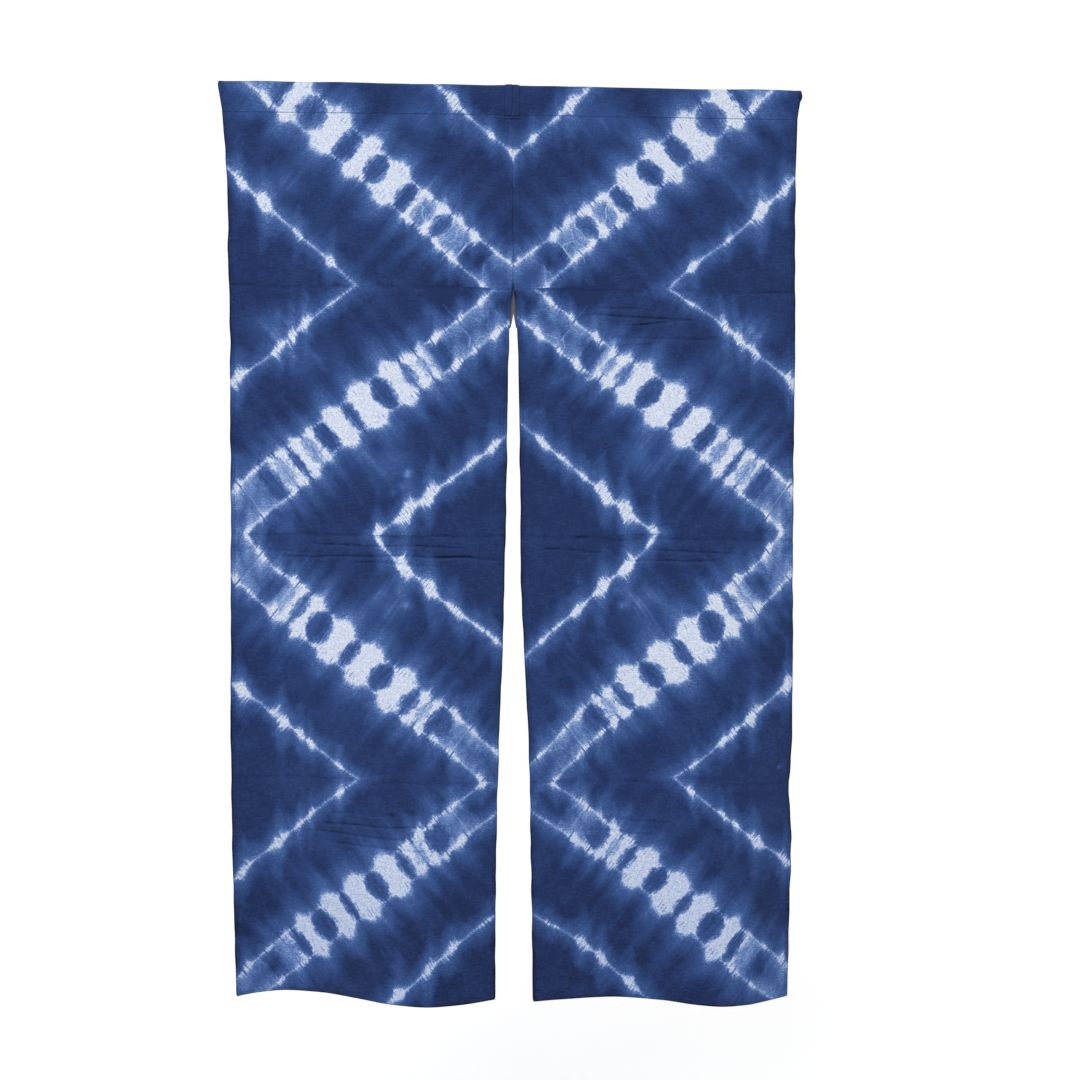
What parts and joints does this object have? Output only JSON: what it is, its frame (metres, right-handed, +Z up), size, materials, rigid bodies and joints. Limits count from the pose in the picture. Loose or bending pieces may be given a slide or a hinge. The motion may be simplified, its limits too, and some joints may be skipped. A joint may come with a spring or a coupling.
{
  "type": "noren curtain",
  "caption": "Split doorway curtain of tie-dyed indigo cotton panels, sewn together above the slit, with a rod pocket along the top edge.",
  "frame": {"origin": "middle of the rod pocket's top edge, where the rod holds the curtain up", "axes": "+Z up, +X along the rod to the right as seen from the front, -Y towards the viewer in front"},
  "size_m": [0.937, 0.0686, 1.48],
  "materials": {
    "cloth": "matte plain-weave cotton with fine slubs, resist-dyed in indigo with near-white undyed bands"
  },
  "bodies": {
    "root": {"panel_left": "cloth", "panel_right": "cloth", "heading_left": "cloth", "heading_right": "cloth"}
  },
  "joints": []
}
